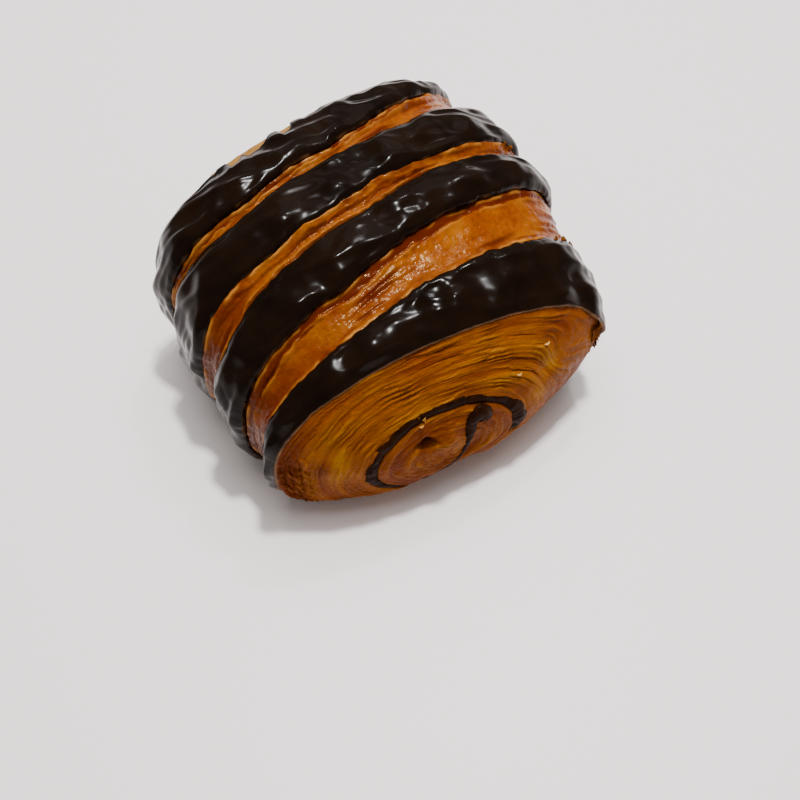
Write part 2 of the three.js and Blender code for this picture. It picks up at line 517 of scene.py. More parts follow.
def spiral_material():
    """Bare baked layers of the ends, ochre to red-brown, with set chocolate between them."""
    n = Nodes("spiral_end")
    # Fine lines that follow the layers, without a seam where one turn meets the next.
    places = {"X": n.field("sheet"), "Y": n.field("turn_cos"), "Z": n.field("turn_sin")}
    fine = n.grain(n.add("ShaderNodeCombineXYZ", places).outputs["Vector"], 1.0, 4.0, 0.6)
    ochre = n.ramp(n.field("tone"), [
        (0.0, (0.15, 0.024, 0.0004)),
        (0.35, (0.23, 0.054, 0.0006)),
        (0.65, (0.29, 0.084, 0.0014)),
        (1.0, (0.37, 0.142, 0.006)),
    ])
    grain = n.ramp(fine, [(0.35, 0.66), (0.6, 1.0)])
    ochre = n.mix(0.6, ochre, grain, "MULTIPLY")
    patchy = n.ramp(n.noise(4.5, 4), [(0.3, 0.7), (0.68, 1.0)])
    ochre = n.mix(0.7, ochre, patchy, "MULTIPLY")
    # Painted shade: the groove field darkens the fine cracks, the splits, the leaf drops and the
    # hollow.
    shaded_ochre = n.mix(n.field("groove"), ochre, (0.13, 0.021, 0.0005))
    crust = n.mix(n.field("crust"), shaded_ochre, (0.13, 0.023, 0.002))
    bare = n.mix(n.field("pale"), crust, (0.42, 0.215, 0.060))
    n.set(Base_Color=n.mix(n.field("chocolate"), bare, (0.008, 0.003, 0.0015)))
    n.set(Roughness=n.ramp(n.noise(1.2, 4), [(0.3, 0.22), (0.7, 0.5)]))
    rough = n.bump(n.noise(0.55, 3), 0.12)
    flaky = n.ramp(n.noise(1.7, 3, 0.6, (1.6, 1, 0.7)), [(0.42, 0.0), (0.58, 1.0)])
    n.set(Normal=n.bump(fine, 0.26, n.bump(flaky, 0.10, rough)))
    n.set(IOR=1.13, Specular_Tint=(1.0, 0.78, 0.40, 1))
    return n.material


def chocolate_material():
    """Set chocolate, dark and slightly dusty."""
    n = Nodes("chocolate")
    n.set(Base_Color=n.ramp(n.noise(2.5, 4), [
        (0.3, (0.008, 0.0022, 0.0008)),
        (0.7, (0.020, 0.0060, 0.0020)),
    ]))
    n.set(Roughness=n.ramp(n.noise(1.5, 3), [(0.3, 0.28), (0.7, 0.55)]))
    n.set(Normal=n.bump(n.noise(0.9, 3), 0.12))
    n.set(IOR=1.10, Specular_Tint=(1.0, 0.62, 0.42, 1))
    return n.material


def flake_material(name, dark, pale):
    """Thin dry crumbs and torn flakes."""
    n = Nodes(name)
    n.set(Base_Color=n.ramp(n.noise(1.5, 3), [(0.35, dark), (0.7, pale)]))
    n.set(Roughness=n.ramp(n.noise(0.8, 3), [(0.3, 0.35), (0.7, 0.6)]))
    n.set(Normal=n.bump(n.noise(0.4, 2), 0.03), IOR=1.2)
    return n.material


# --- Cocoa bands ---
BAND_DEPTH = 2.2
# How far a band's edge is rounded off, and the share of its rise that a cut rim starts with.
EDGE_ROUNDING = 1.5
RIM_ROUNDING = 0.7
RIM_STEP = 0.45
# Relief, in millimetres.
BAND_CROWN = 0.7
BAND_SWELLS = [(1.5, 11, 9, 0), (0.8, 6, 5, 1)]
CREASE_RIDGE = 0.49
CREASE_SINK = 0.175
BAND_RIPPLE = 0.02
SIDE_RIDGES = 0.42
PIT_DEPTH = 0.75
BLISTER_HEIGHT = 0.55
SPOTS_PER_BAND = 30


def eased_rows(count):
    """Places from 0 to 1 that crowd towards both ends."""
    even = np.linspace(0, 1, count)
    return 0.45 * even + 0.55 * (1 - np.cos(np.pi * even)) / 2


def edge_rise(distance, is_rim):
    """Climb from a band's rounded edge to its full rise, 0 to 1."""
    rounding, step = (RIM_ROUNDING, RIM_STEP) if is_rim else (EDGE_ROUNDING, 0.0)
    rise = np.sqrt(1 - (1 - np.clip(distance / rounding, 0, 1)) ** 2)
    return step + (1 - step) * rise


def band_lumps(s, t, height_above_base, number, seed):
    """Swells, creases, ripples, pits and blisters of a band."""
    crease = noise(s / 17 + 0.12 * t, t / 6, number + 0.5, seed + 2)
    low_on_side = smooth(46, 30, height_above_base)
    ridges = low_on_side * noise(s / 10 + 0.1 * t, t / 2.2, number, seed + 8)
    ripple = noise(s / 3.2, t / 2.4, number, seed + 3)
    span = ((0, ARCH_LENGTH), (t.min(), t.max()))
    pits = spots(s, t, span, SPOTS_PER_BAND, (2.6, 5.4), seed + 4)
    blisters = spots(s, t, span, SPOTS_PER_BAND, (2.6, 5.6), seed + 5)
    return (
        lumps(s, t, BAND_SWELLS, number, seed)
        + CREASE_RIDGE * bell(crease, 0.30) - CREASE_SINK
        + BAND_RIPPLE * ripple + SIDE_RIDGES * ridges
        - PIT_DEPTH * pits + BLISTER_HEIGHT * blisters
    )


def band(number, front, back, material):
    """A glazed band between two edges."""
    share = eased_rows(BAND_ROWS)
    skin = plain_skin(front, back, share)
    s = np.broadcast_to(LOOP_S[:, None], skin.shape[:2])
    t = skin[..., 1]
    seed = 100 + 10 * number
    breadth = np.linalg.norm(skin[:, -1] - skin[:, 0], axis=-1)[:, None]
    from_front = share[None] * breadth
    from_back = (1 - share)[None] * breadth
    inset = np.minimum(from_front, from_back)
    rise = np.minimum(
        edge_rise(from_front, front == FRONT_RIM), edge_rise(from_back, back == BACK_RIM))
    crown = BAND_CROWN * np.sin(np.pi * share)[None] ** 0.8
    lift = BAND_RISE * rise * (1 + 0.35 * noise(s / 7, t / 9, 1, seed + 7))
    bumps = crown + band_lumps(s, t, skin[..., 2], number, seed)
    outer = raised(skin, lift + smooth(0.0, 3.2, inset) * bumps, 0.0)

    # The glaze has worn off the edges in patches, and most of all off the front lip.
    patch = 0.1 + 0.9 * noise(s / 3, t / 3, 0, seed + 6)
    edge = (1 - smooth(0.0, 0.4, inset)) * np.clip(patch, 0, 1)
    if front == FRONT_RIM:
        edge = np.maximum(edge, (1 - smooth(0.0, 0.5, from_front)) * np.clip(patch + 0.6, 0, 1))
    fields = {"edge": edge, "baked": baked(outer)}
    closed_ring(f"cocoa_band_{number}", outer, BAND_DEPTH, material, fields)


# --- Plain dough in the gaps ---
GAP_DEPTH = 2.5
GAP_LOWEST = 0.3
TUCK_UNDER = 2.6
# A fold of dough runs beside one band in each gap, with painted shade in dark red-brown in the
# channel under it: the edge it follows, its width.
FOLDS = {1: ("back", 2.0), 2: ("front", 1.1), 3: ("back", 1.1)}
# Relief, in millimetres.
GAP_SAG = 1.0
STEP_HEIGHT = 0.55
TEAR_HEIGHT = 0.7
FOLD_DEPTH = 0.8
BRIM_HEIGHT = 0.3
BUBBLE_HEIGHT = 0.22
LIP_HEIGHT = 0.35
GAP_LUMPS = [(0.22, 5, 2.0, 17), (0.10, 2.0, 0.7, 18)]
BUBBLES = 380
BUBBLE_RADIUS = (0.35, 1.1)
# Long tears run only along a gap wider than this.
LONG_TEARS = 4
TEARS_FROM_WIDTH = 5


def torn_steps(p):
    """Torn steps: one beside the front band and two beside the back band, each with painted shade
    in dark red-brown at its foot.
    """
    height, torn = 0.0, 0.0
    for k, distance in enumerate([p.from_front, p.from_back, p.from_back]):
        line = 0.9 + 0.55 * k + 0.9 * noise(p.s / 7, 0.3, k, p.seed + k)
        line = line + 0.25 * noise(p.s / 1.6, 0.8, k, p.seed + 5 + k)
        strength = smooth(-0.3, 0.4, noise(p.s / 15, 0.2, k + 4.0, p.seed + 9))
        height = height + STEP_HEIGHT * strength * smooth(-0.15, 0.15, line - distance)
        # Painted shade in dark red-brown just past the foot of the step.
        torn = np.maximum(torn, strength * bell(distance - line - 0.25, 0.4))
    return height, torn


def long_tears(p):
    """Tears that run along a wide gap, each a low step with painted shade in dark red-brown at its
    foot.
    """
    height, torn = 0.0, 0.0
    for k in range(LONG_TEARS):
        middle = 0.2 + 0.2 * k + 0.24 * noise(p.s / 24, 0.1, k + 7.0, p.seed + 12)
        line = (p.share[None] - middle) * p.breadth + 0.3 * noise(p.s / 2.2, 0.6, k, p.seed + 14)
        strength = smooth(-0.1, 0.35, noise(p.s / 19, 0.9, k + 2.0, p.seed + 15))
        step = (smooth(-0.2, 0.2, line) - 0.5) * np.exp(-np.abs(line) / 2.5)
        height = height + TEAR_HEIGHT * strength * step
        # Painted shade in dark red-brown at the foot of the tear.
        torn = np.maximum(torn, strength * bell(line + 0.3, 0.35 + 0.75 * strength))
    return height, torn


def folded_brim(p, side, width):
    """The fold of dough beside one band: the channel under it, which is sunk and given painted
    shade, and its raised brim, which is given a painted highlight.
    """
    distance = p.from_back if side == "back" else p.from_front
    brim = width * (1 + 0.55 * noise(p.s / 12, 0.4, p.number, p.seed + 30))
    brim = brim + 0.35 * noise(p.s / 2.1, 0.7, p.number, p.seed + 31)
    brim = brim * smooth(-0.7, -0.1, noise(p.s / 21, 0.1, p.number, p.seed + 32))
    present = smooth(0.3, 0.8, brim)
    standing = present * smooth(-0.35, 0.35, noise(p.s / 7, 0.1, p.number, p.seed + 33))
    under = present * smooth(0.25, -0.2, distance - brim)
    return under, standing * bell(distance - brim - 0.45, 0.4)


def edge_and_flank_shade(p, skin):
    """Painted shade in dark red-brown: beside the bands in places, on the left side away from the
    key light, and low on the sides.
    """
    # Painted shade beside the band edges, in patches.
    shade = np.exp(-np.clip(p.inset - 0.4, 0, None) / 0.9)
    shade = shade * smooth(-0.3, 0.4, noise(p.s / 8, p.t / 5, 0, p.seed + 21))
    # Painted shade on the left side and low on the sides, which the overhead lights reach only at
    # a grazing angle.
    left_side = smooth(56, 34, skin[..., 2]) * smooth(10, -22, skin[..., 0])
    low = np.maximum(left_side, smooth(38, 15, skin[..., 2]))
    flank_shade = low * smooth(-0.7, 0.2, noise(p.s / 11, p.t / 4, 0, p.seed + 22))
    return np.maximum(0.8 * shade, 0.9 * flank_shade)


def gap(number, front, back, material):
    """The plain dough between two bands, tucked under both."""
    wide = float(np.mean(EDGES[back] - EDGES[front]))
    reach = TUCK_UNDER / wide
    share = np.linspace(-reach, 1 + reach, GAP_ROWS)
    skin = plain_skin(front, back, share)
    breadth = np.abs(skin[:, -1, 1] - skin[:, 0, 1])[:, None] / (1 + 2 * reach)
    p = SimpleNamespace(
        number=number, seed=300 + 20 * number, share=share, breadth=breadth,
        s=np.broadcast_to(LOOP_S[:, None], skin.shape[:2]), t=skin[..., 1],
        from_front=share[None] * breadth, from_back=(1 - share)[None] * breadth,
    )
    p.inset = np.minimum(p.from_front, p.from_back)

    height, torn = torn_steps(p)
    if wide > TEARS_FROM_WIDTH:
        tear_height, tear_shade = long_tears(p)
        height, torn = height + tear_height, np.maximum(torn, tear_shade)
    under, brim = folded_brim(p, *FOLDS[number])
    # Painted shade in the channel under the fold, kept off its brim.
    torn = np.maximum(torn * (1 - 0.8 * brim), 0.95 * under)
    # Painted shade beside the bands and on the low and left sides.
    torn = np.maximum(torn, edge_and_flank_shade(p, skin))
    span = ((0, ARCH_LENGTH), (p.t.min(), p.t.max()))
    bubbles = spots(p.s, p.t, span, BUBBLES, BUBBLE_RADIUS, p.seed + 16)
    # Painted highlight: a pale line along the raised lip beside each band.
    lit_lip = bell(p.inset - 0.25, 0.28) * smooth(-0.2, 0.45, noise(p.s / 4, 0.5, 0, p.seed + 19))
    height = height - GAP_SAG * np.sin(np.pi * np.clip(share, 0, 1))[None] ** 0.7
    height = height - FOLD_DEPTH * under + BRIM_HEIGHT * brim
    height = height + BUBBLE_HEIGHT * bubbles + LIP_HEIGHT * lit_lip
    height = height + lumps(p.s, p.t, GAP_LUMPS, 0, p.seed)
    outer = raised(skin, height, GAP_LOWEST)
    fields = {
        "torn": np.clip(torn, 0, 1),
        # Painted highlight: pale colour on the lips and on the fold's brim.
        "lit_lip": np.clip(0.75 * np.maximum(lit_lip, 0.4 * brim), 0, 1),
        "baked": baked(outer),
    }
    closed_ring(f"plain_dough_{number}", outer, GAP_DEPTH, material, fields)


# --- Spiral ends ---
END_LOOP = np.arange(0, LOOP_POINTS, 2)
END_RINGS = 270
INNERMOST = 0.004
RING_SHARE = 0.42
# The chocolate ring runs over this arc, in degrees from the side that it opens on.
RING_ARC = (-24, 285)
SHEETS = 34
LEAVES = 21
TURN_LENGTH = 2 * np.pi * 1.9
# The plain inner face of an end: its depth, and how far out its rings lie.
END_DEPTH = 6.0
INNER_SHARES = np.array([0.97, 0.6, 0.15])
RIM_RISE = 1.0
# Relief, in millimetres.
LAYER_HEIGHTS = (0.27, 0.16, 0.12)
LINE_DEPTH = 0.10
LEAF_HEIGHT = 0.65
END_SWELL = 0.6
SPLIT_DEPTH = 0.5
RING_DEPTH = 0.9
HOLLOW_DEPTH = 4.5
BULGE_HEIGHT = 1.3
POCKET_DEPTH = 0.9
CRUST_HEIGHTS = {"corner": 3.0, "ragged": 1.95, "foot": 1.2}
# Sizes in x and z, in millimetres.
KNOT_SIZE = (6.5, 5.0)
HOLLOW_SIZE = (2.2, 1.6)
BULGE_SIZE = (2.8, 3.2)
POCKET_SIZE = (3.5, 2.5)
STREAK_X, STREAK_Z, STREAK_SIZE = 31, 25, (3, 8)
# What shows on an end's side wall, high and low.
WALL = {"tone": 1.0, "pale": 0.85}
WALL_LOW = {"tone": 0.3, "crust": 0.9}


class EndFace:
    """The curved face of one end: the CAD shape, and a grid of rings round its core."""

    def __init__(self, end):
        self.end = end
        self.facing = end["facing"]
        edge = EDGES[end["edge"]]
        self.rim_stray = RIM_STRAY[end["edge"]]
        x, y, z = settled_loop(edge, self.rim_stray[:, None])
        flat = np.concatenate([x, z], axis=1)
        along = np.roll(flat, -2, 0) - np.roll(flat, 2, 0)
        along = along / np.linalg.norm(along, axis=1, keepdims=True)
        rise = RIM_RISE * smooth(0.5, 5.0, z[:, 0])[:, None]
        x, z = x - rise * along[:, 1:], z + rise * along[:, :1]
        self.rim = np.stack([x, y, z], -1)[:, 0]
        hx, hz = end["heart"]
        self.heart = np.array([hx, edge_y(edge, np.array(hx)), hz])
        away = self.rim - self.heart
        self.rim_angle = np.arctan2(away[:, 2], away[:, 0])
        self.rim_radius = np.hypot(away[:, 2], away[:, 0])

    def y_at(self, x, z):
        """y of the CAD's face above (x, z)."""
        away_x, away_z = x - self.heart[0], z - self.heart[2]
        angle = np.arctan2(away_z, away_x).ravel()
        radius, rim_y, stray = (
            np.interp(angle, self.rim_angle, values, period=2 * np.pi).reshape(np.shape(x))
            for values in (self.rim_radius, self.rim[:, 1] - self.rim_stray, self.rim_stray)
        )
        share = np.clip(np.hypot(away_x, away_z) / radius, 0, 1)
        y = self.heart[1] + share * (rim_y - self.heart[1]) + share**12 * stray
        return y + self.facing * self.end["push"] * (1 - share**ROUNDNESS)

    def point(self, x, z, lift):
        """The point above (x, z), with lift added to its y."""
        return x, self.y_at(np.array([x]), np.array([z]))[0] + lift, z

    def rings(self, share):
        """(x, z) on rays from core to rim; RING_SHARE lies on the chocolate ring."""
        core = np.array(self.end["core"])
        away = self.rim[END_LOOP][:, [0, 2]] - core
        far = np.hypot(away[:, 0], away[:, 1])
        way = away / far[:, None]
        a, b = self.end["ring"]
        angle = np.arctan2(way[:, 1] / b, -self.facing * way[:, 0] / a)
        near = ring_swing(angle, self.facing) / np.hypot(way[:, 0] / a, way[:, 1] / b)
        near = np.minimum(near, 0.8 * far)
        inner = np.clip(share / RING_SHARE, 0, 1)
        outer = np.clip((share - RING_SHARE) / (1 - RING_SHARE), 0, 1)
        radius = near[:, None] * inner[None] + (far - near)[:, None] * outer[None]
        return core + way[:, None] * radius[..., None]


def ring_swing(angle, facing):
    """How the chocolate ring strays from its ellipse; angle in radians from the open side."""
    swing = 1 + 0.07 * noise(np.cos(angle) * 1.1, np.sin(angle) * 1.1, facing, 51)
    return swing + 0.035 * noise(np.cos(angle) * 3.5, np.sin(angle) * 3.5, facing, 52)


def rolled_sheet(face, seed):
    """An end's grid and its places in the rolled sheet: u is 0 at the core."""
    share = np.linspace(1.0, INNERMOST, END_RINGS)
    ground = face.rings(share)
    x, z = ground[..., 0], ground[..., 1]
    u = np.broadcast_to(share[None], x.shape)
    core_x, core_z = face.end["core"]
    # One turn runs from the middle of the base, over the top and back.
    turn = (np.arctan2(core_x - x, z - core_z) / (-2 * np.pi) + 0.5) % 1.0
    warp = lumps(x, z, [(0.8, 17, 12, 0), (0.2, 6, 4, 1)], 0, seed)
    knot = mound(x, z, face.end["knot"], KNOT_SIZE) * smooth(0.45, 0.6, u)
    p = SimpleNamespace(
        face=face, seed=seed, x=x, z=z, u=u, turn=turn, warp=warp, knot=knot,
        sheet=SHEETS * u + warp + 4.0 * knot,
        off_core=smooth(0.02, 0.16, u), inner=smooth(0.46, 0.34, u),
    )
    p.wide = layered(p, 0.3, 0.5, 2)
    p.middle = layered(p, 0.75, 0.8, 3)
    p.thin = layered(p, 1.6, 1.0, 4)
    return p


def layered(p, fineness, along, step, start=0.0):
    """Noise drawn out along the rolled sheet, matched from one turn to the next."""
    across, along = p.sheet * fineness + start + p.turn, p.turn * TURN_LENGTH * along
    meet = smooth(0.88, 1.0, p.turn)
    first, second = (noise(across - back, along, 0, p.seed + step) for back in (0, 1))
    return first * (1 - meet) + second * meet


def patches(p, size, layer, step, low, high):
    """0 to 1 in patches of that size in x and z over an end."""
    return smooth(low, high, noise(p.x / size[0], p.z / size[1], layer, p.seed + step))


def soft_layers(p):
    """Relief of the dough's layers, and painted shade in the fine cracks between them."""
    finely = 0.25 + 0.75 * patches(p, (10, 6), 4, 21, -0.15, 0.4)
    broad, middle, thin = LAYER_HEIGHTS
    cracks = crack(p.middle, 0.02, 0.20) * patches(p, (8, 5), 3, 5, -0.25, 0.45)
    cracks = (cracks + crack(p.thin, 0.0, 0.16) * finely) * p.off_core
    fine = (middle * p.middle + thin * p.thin * finely) * (1 + 0.5 * p.inner) * p.off_core
    relief = broad * np.tanh(2.0 * p.wide) + fine - LINE_DEPTH * cracks
    return relief, 0.2 * cracks * (1 + 2.2 * p.inner)


def leaves(p):
    """Leaves of dough, each overlapping the next: relief, a painted highlight along each crest and
    a painted shadow at each drop.
    """
    leaf = LEAVES * p.u + 0.8 * p.warp + 1.5 * p.wide + 0.35 * p.middle + 3.0 * p.knot
    leaf = (leaf + 0.22 * noise(p.x / 1.9, p.z / 1.6, 4, p.seed + 22)) % 1.0
    showing = p.off_core * (0.2 + 0.8 * patches(p, (8, 6), 2, 20, -0.2, 0.45))
    showing = showing * (0.4 + 0.6 * smooth(0.36, 0.5, p.u))
    rise = leaf**1.3 * (1 - smooth(0.86, 1.0, leaf)) - 0.35
    # Painted highlight along the crest of each leaf.
    crest_glint = bell(leaf - 0.87, 0.08)
    # Painted shadow at the foot of each leaf's drop.
    drop_shadow = bell(leaf - 1.0, 0.05) + bell(leaf, 0.07)
    return LEAF_HEIGHT * showing * rise, showing * crest_glint, showing * drop_shadow


def splits(p):
    """1 where two layers have come apart."""
    gape = layered(p, 0.42, 0.45, 7, start=7.7)
    return crack(gape, 0.02, 0.09) * patches(p, (12, 9), 5, 8, 0.2, 0.45) * p.off_core


def ring_groove(p):
    """1 in the groove that the chocolate ring fills."""
    (core_x, core_z), (a, b) = p.face.end["core"], p.face.end["ring"]
    opening = np.degrees(np.arctan2((p.z - core_z) / b, -p.face.facing * (p.x - core_x) / a))
    middle_of_gap = (RING_ARC[0] + RING_ARC[1] - 360) / 2
    half_gap = (RING_ARC[0] - RING_ARC[1] + 360) / 2
    groove = crack((p.u - RING_SHARE) / 0.035, 0.5, 1.0)
    return groove * smooth(half_gap - 6, half_gap + 4, np.abs(opening - middle_of_gap))


def heart_hollow(p):
    """1 in the ragged hollow near the heart."""
    x, z = p.face.end["hollow"]
    reach = 1 + 0.45 * noise(p.x / 1.8, p.z / 1.5, 0, p.seed + 9)
    far = ((p.x - x) / HOLLOW_SIZE[0]) ** 2 + ((p.z - z) / HOLLOW_SIZE[1]) ** 2
    return np.exp(-((far / reach) ** 1.5))


def crisp_crust(p):
    """The crisp lower left corner, the ragged right corner, the foot; and crinkles."""
    places = {
        "corner": smooth(-34, -41, p.x) * smooth(31, 22, p.z) * smooth(0.66, 0.86, p.u),
        "ragged": smooth(36, 42, p.x) * hill(p.z, (16, 21), (31, 27)),
        "foot": smooth(7.0, 2.0, p.z) * smooth(0.7, 0.9, p.u),
    }
    coarse, fine = (
        np.abs(noise(p.x / size, p.z / size, 7, p.seed + step))
        for size, step in ((1.7, 10), (0.8, 11))
    )
    return places, coarse + 0.5 * fine


def spiral_end(name, end, material, seed):
    """One rolled end: its layers, leaves, splits, heart and crust."""
    face = EndFace(end)
    p = rolled_sheet(face, seed)
    relief, line_shade = soft_layers(p)
    leaf_relief, crest_glint, drop_shadow = leaves(p)
    split = splits(p)
    swell = END_SWELL * (1 - 0.6 * p.inner) * noise(p.x / 11, p.z / 8, 1, seed + 6)
    relief = relief + leaf_relief + swell - SPLIT_DEPTH * split
    ring = ring_groove(p)
    relief = relief * (1 - 0.8 * ring) - RING_DEPTH * ring
    hollow = heart_hollow(p)
    bulge = mound(p.x, p.z, end["bulge"], BULGE_SIZE)
    relief = relief * (1 - 0.7 * bulge) + BULGE_HEIGHT * bulge - HOLLOW_DEPTH * hollow
    places, crinkle = crisp_crust(p)
    for place, height in CRUST_HEIGHTS.items():
        relief = relief - height * places[place] * (0.5 - crinkle)
    settle = smooth(0.0, 0.05, 1 - p.u)
    knot_x, knot_z = end["knot"]
    pocket = mound(p.x, p.z, (knot_x - 6, knot_z - 0.5), POCKET_SIZE)
    relief = relief * (0.25 + 0.75 * settle) - POCKET_DEPTH * pocket
    y = face.y_at(p.x, p.z) + face.facing * relief
    front = np.stack([p.x, y, np.maximum(p.z, 0.0)], -1)

    under_rim = smooth(0.86, 1.0, p.u)
    crust = under_rim * (0.35 + 0.5 * noise(p.x / 5, p.z / 4, 0, seed + 12))
    crisp = np.maximum(places["corner"], 0.8 * places["foot"])
    streak = mound(p.x, p.z, (STREAK_X * face.facing, STREAK_Z), STREAK_SIZE)
    tone = 0.42 - 0.12 * p.inner + 0.55 * p.wide + 0.35 * p.middle + 0.2 * p.thin
    tone = tone + 0.45 * noise(p.x / 12, p.z / 7, 0, seed + 13) - 0.25 * under_rim
    # Painted highlight: the leaf crests lighten the tone.
    tone = tone + 0.5 * pocket + 0.35 * streak + 0.3 * bulge + 0.38 * crest_glint
    fields = {
        "sheet": p.sheet * 2.5,
        "turn_cos": 3.0 * np.cos(2 * np.pi * p.turn),
        "turn_sin": 3.0 * np.sin(2 * np.pi * p.turn),
        "tone": np.clip(tone, 0, 1),
        # Painted shade in the fine cracks, at the leaf drops, in the splits and in the hollow.
        "groove": np.clip(line_shade + 0.36 * drop_shadow + 0.5 * split + hollow, 0, 1),
        "crust": np.clip(crust + crisp * (0.4 + 2.6 * (0.36 - crinkle)), 0, 1),
        # Chocolate colour in the ring groove; in the hollow near the heart the same dark colour is
        # painted shade.
        "chocolate": np.clip(ring + 0.85 * smooth(0.35, 0.8, hollow), 0, 1),
        "pale": 0.85 * smooth(0.985, 1.0, p.u) * smooth(28, 40, p.z) * (face.facing > 0),
    }
    end_slab(name, face, front, material, fields)
    return face


def end_slab(name, face, front, material, fields):
    """Closes an end's outer grid with a plain inner face END_DEPTH behind it."""
    rim, middle = front[:, 0], front[:, -1].mean(axis=0)
    centre = np.array([face.heart[0], 0, face.heart[2]])
    inner = centre + INNER_SHARES[None, :, None] * (rim[:, None] - centre)
    inner[..., 1] = rim[:, None, 1] - face.facing * END_DEPTH
    grid = np.concatenate([front[:, ::-1], inner], axis=1)
    loop, rows = grid.shape[:2]
    points = np.concatenate([grid.reshape(-1, 3), [middle, inner[:, -1].mean(axis=0)]])
    quads, quad_uv = grid_faces(loop, rows, rows - 1)
    start = np.arange(loop) * rows
    after = np.roll(start, -1)
    first, last = len(points) - 2, len(points) - 1
    lids = np.concatenate([
        stacked([first, after, start]),
        stacked([last, start + rows - 1, after + rows - 1]),
    ])
    lid_uv = np.zeros((2 * loop, 3, 2))
    lid_uv[loop:] = 1
    if face.facing > 0:
        quads, quad_uv, lids = quads[:, ::-1], quad_uv[:, ::-1], lids[:, ::-1]
    uv = np.concatenate([quad_uv.reshape(-1, 2), lid_uv.reshape(-1, 2)])
    low = smooth(28, 16, rim[:, 2:])
    values = {}
    for label, field in fields.items():
        wall = np.full((loop, len(INNER_SHARES)), WALL.get(label, 0.0))
        wall = wall + (WALL_LOW.get(label, 0.0) - wall) * low
        full = np.concatenate([field[:, ::-1], wall], axis=1)
        values[label] = np.concatenate([full.ravel(), [field[:, -1].mean(), field[:, 0].mean()]])
    add_mesh(name, points, list(quads) + list(lids), material, values, uv)


# --- Chocolate inside the roll ---
TUBE_SIDES = 18
RING_POINTS = 260
RING_SQUASH = 0.48
RING_SUNK = 0.75
RING_LOWEST = 4.0
VEIN_POINTS = 110
VEIN_SQUASH = 0.55
# The vein's thickness at these knots of its path.
VEIN_KNOTS = [0, 1, 2, 4, 8]
VEIN_THICKNESS = [1.9, 2.9, 2.2, 1.1, 0.6]
VEIN_SOFTENING = 9


def tube(name, face, way, sunk, radius, squash, material):
    """A lumpy closed tube sunk in a face, radius[i] wide and flattened along Y."""
    x, z = way
    path = np.stack([x, face.y_at(x, z) - face.facing * sunk, z], -1)
    tangent = np.gradient(path, axis=0)
    tangent = tangent / np.linalg.norm(tangent, axis=1, keepdims=True)
    up = np.array([0.0, face.facing, 0.0])
    side = np.cross(tangent, up)
    side = side / np.linalg.norm(side, axis=1, keepdims=True)
    angle = np.arange(TUBE_SIDES) / TUBE_SIDES * 2 * np.pi
    cos, sin = np.cos(angle), np.sin(angle)
    ring = cos[None, :, None] * side[:, None] + squash * sin[None, :, None] * up
    x, z = x[:, None], z[:, None]
    lumpy = 1 + 0.30 * noise(x / 2.4 + cos, z / 2.4, sin, 41)
    lumpy = lumpy + 0.20 * noise(x / 0.9 + cos, z / 0.9, sin, 42)
    points = path[:, None] + ring * (radius[:, None] * lumpy)[..., None]
    points = np.concatenate([points.reshape(-1, 3), path[:1], path[-1:]])
    first, last = len(points) - 2, len(points) - 1
    rows = np.arange(len(path) - 1)[:, None] * TUBE_SIDES
    m = np.arange(TUBE_SIDES)
    n = (m + 1) % TUBE_SIDES
    last_row = (len(path) - 1) * TUBE_SIDES
    after = rows + TUBE_SIDES
    faces = list(stacked([rows + m, rows + n, after + n, after + m]).reshape(-1, 4))
    caps = [stacked([first, n, m]), stacked([last, last_row + m, last_row + n])]
    faces += list(np.stack(caps, axis=1).reshape(-1, 3))
    add_mesh(name, points, faces, material)


def round_ends(count, ends):
    """Radius factors that close a tube with round ends."""
    at = np.minimum(np.arange(count), np.arange(count)[::-1]) / ends
    return np.sqrt(np.clip(1 - (1 - np.clip(at, 0, 1)) ** 2, 0.0004, 1))


def chocolate_ring(name, face, material):
    """The turn of filling that shows in an end, open at the lower right."""
    core_x, core_z = face.end["core"]
    a, b = face.end["ring"]
    at = np.arange(RING_POINTS)
    angle = np.radians(np.linspace(*RING_ARC, RING_POINTS))
    curl = 1 - 0.16 * smooth(RING_POINTS - 70, RING_POINTS, at)
    reach = ring_swing(angle, face.facing) * curl
    x = core_x - face.facing * a * reach * np.cos(angle)
    z = np.maximum(core_z + b * reach * np.sin(angle), RING_LOWEST)
    thick = 1.6 + 0.5 * noise(angle * 1.9, 0.1, 0, 53) + 0.45 * noise(angle * 6, 0.1, 0, 54)
    thick = thick + 0.9 * bell(at / 22.0 - 0.8, 1)
    thick = thick * (1 - 0.45 * smooth(RING_POINTS - 90, RING_POINTS - 30, at))
    tube(name, face, (x, z), RING_SUNK, thick * round_ends(RING_POINTS, 6), RING_SQUASH, material)


def chocolate_vein(name, face, material):
    """A lump of filling near the heart, running down between the layers."""
    knots = np.array(face.end["vein"])
    at = np.linspace(0, len(knots) - 1, VEIN_POINTS)
    x, z = (
        np.convolve(
            np.pad(np.interp(at, np.arange(len(knots)), places), VEIN_SOFTENING // 2, "edge"),
            np.ones(VEIN_SOFTENING) / VEIN_SOFTENING, "valid")
        for places in knots.T
    )
    thick = np.interp(at, VEIN_KNOTS, VEIN_THICKNESS)
    sunk = 0.08 + 0.2 * thick
    tube(name, face, (x, z), sunk, thick * round_ends(VEIN_POINTS, 8), VEIN_SQUASH, material)


# --- Crumbs and torn flakes ---
FLAKE_ROWS, FLAKE_COLUMNS = 11, 7
FLAKE_THICKNESS = 0.16
# Base colours of the flakes: their dark and their pale parts.
CRUMB_COLOURS = (0.42, 0.14, 0.010), (0.62, 0.36, 0.10)
LEAF_COLOURS = (0.16, 0.034, 0.002), (0.34, 0.13, 0.018)
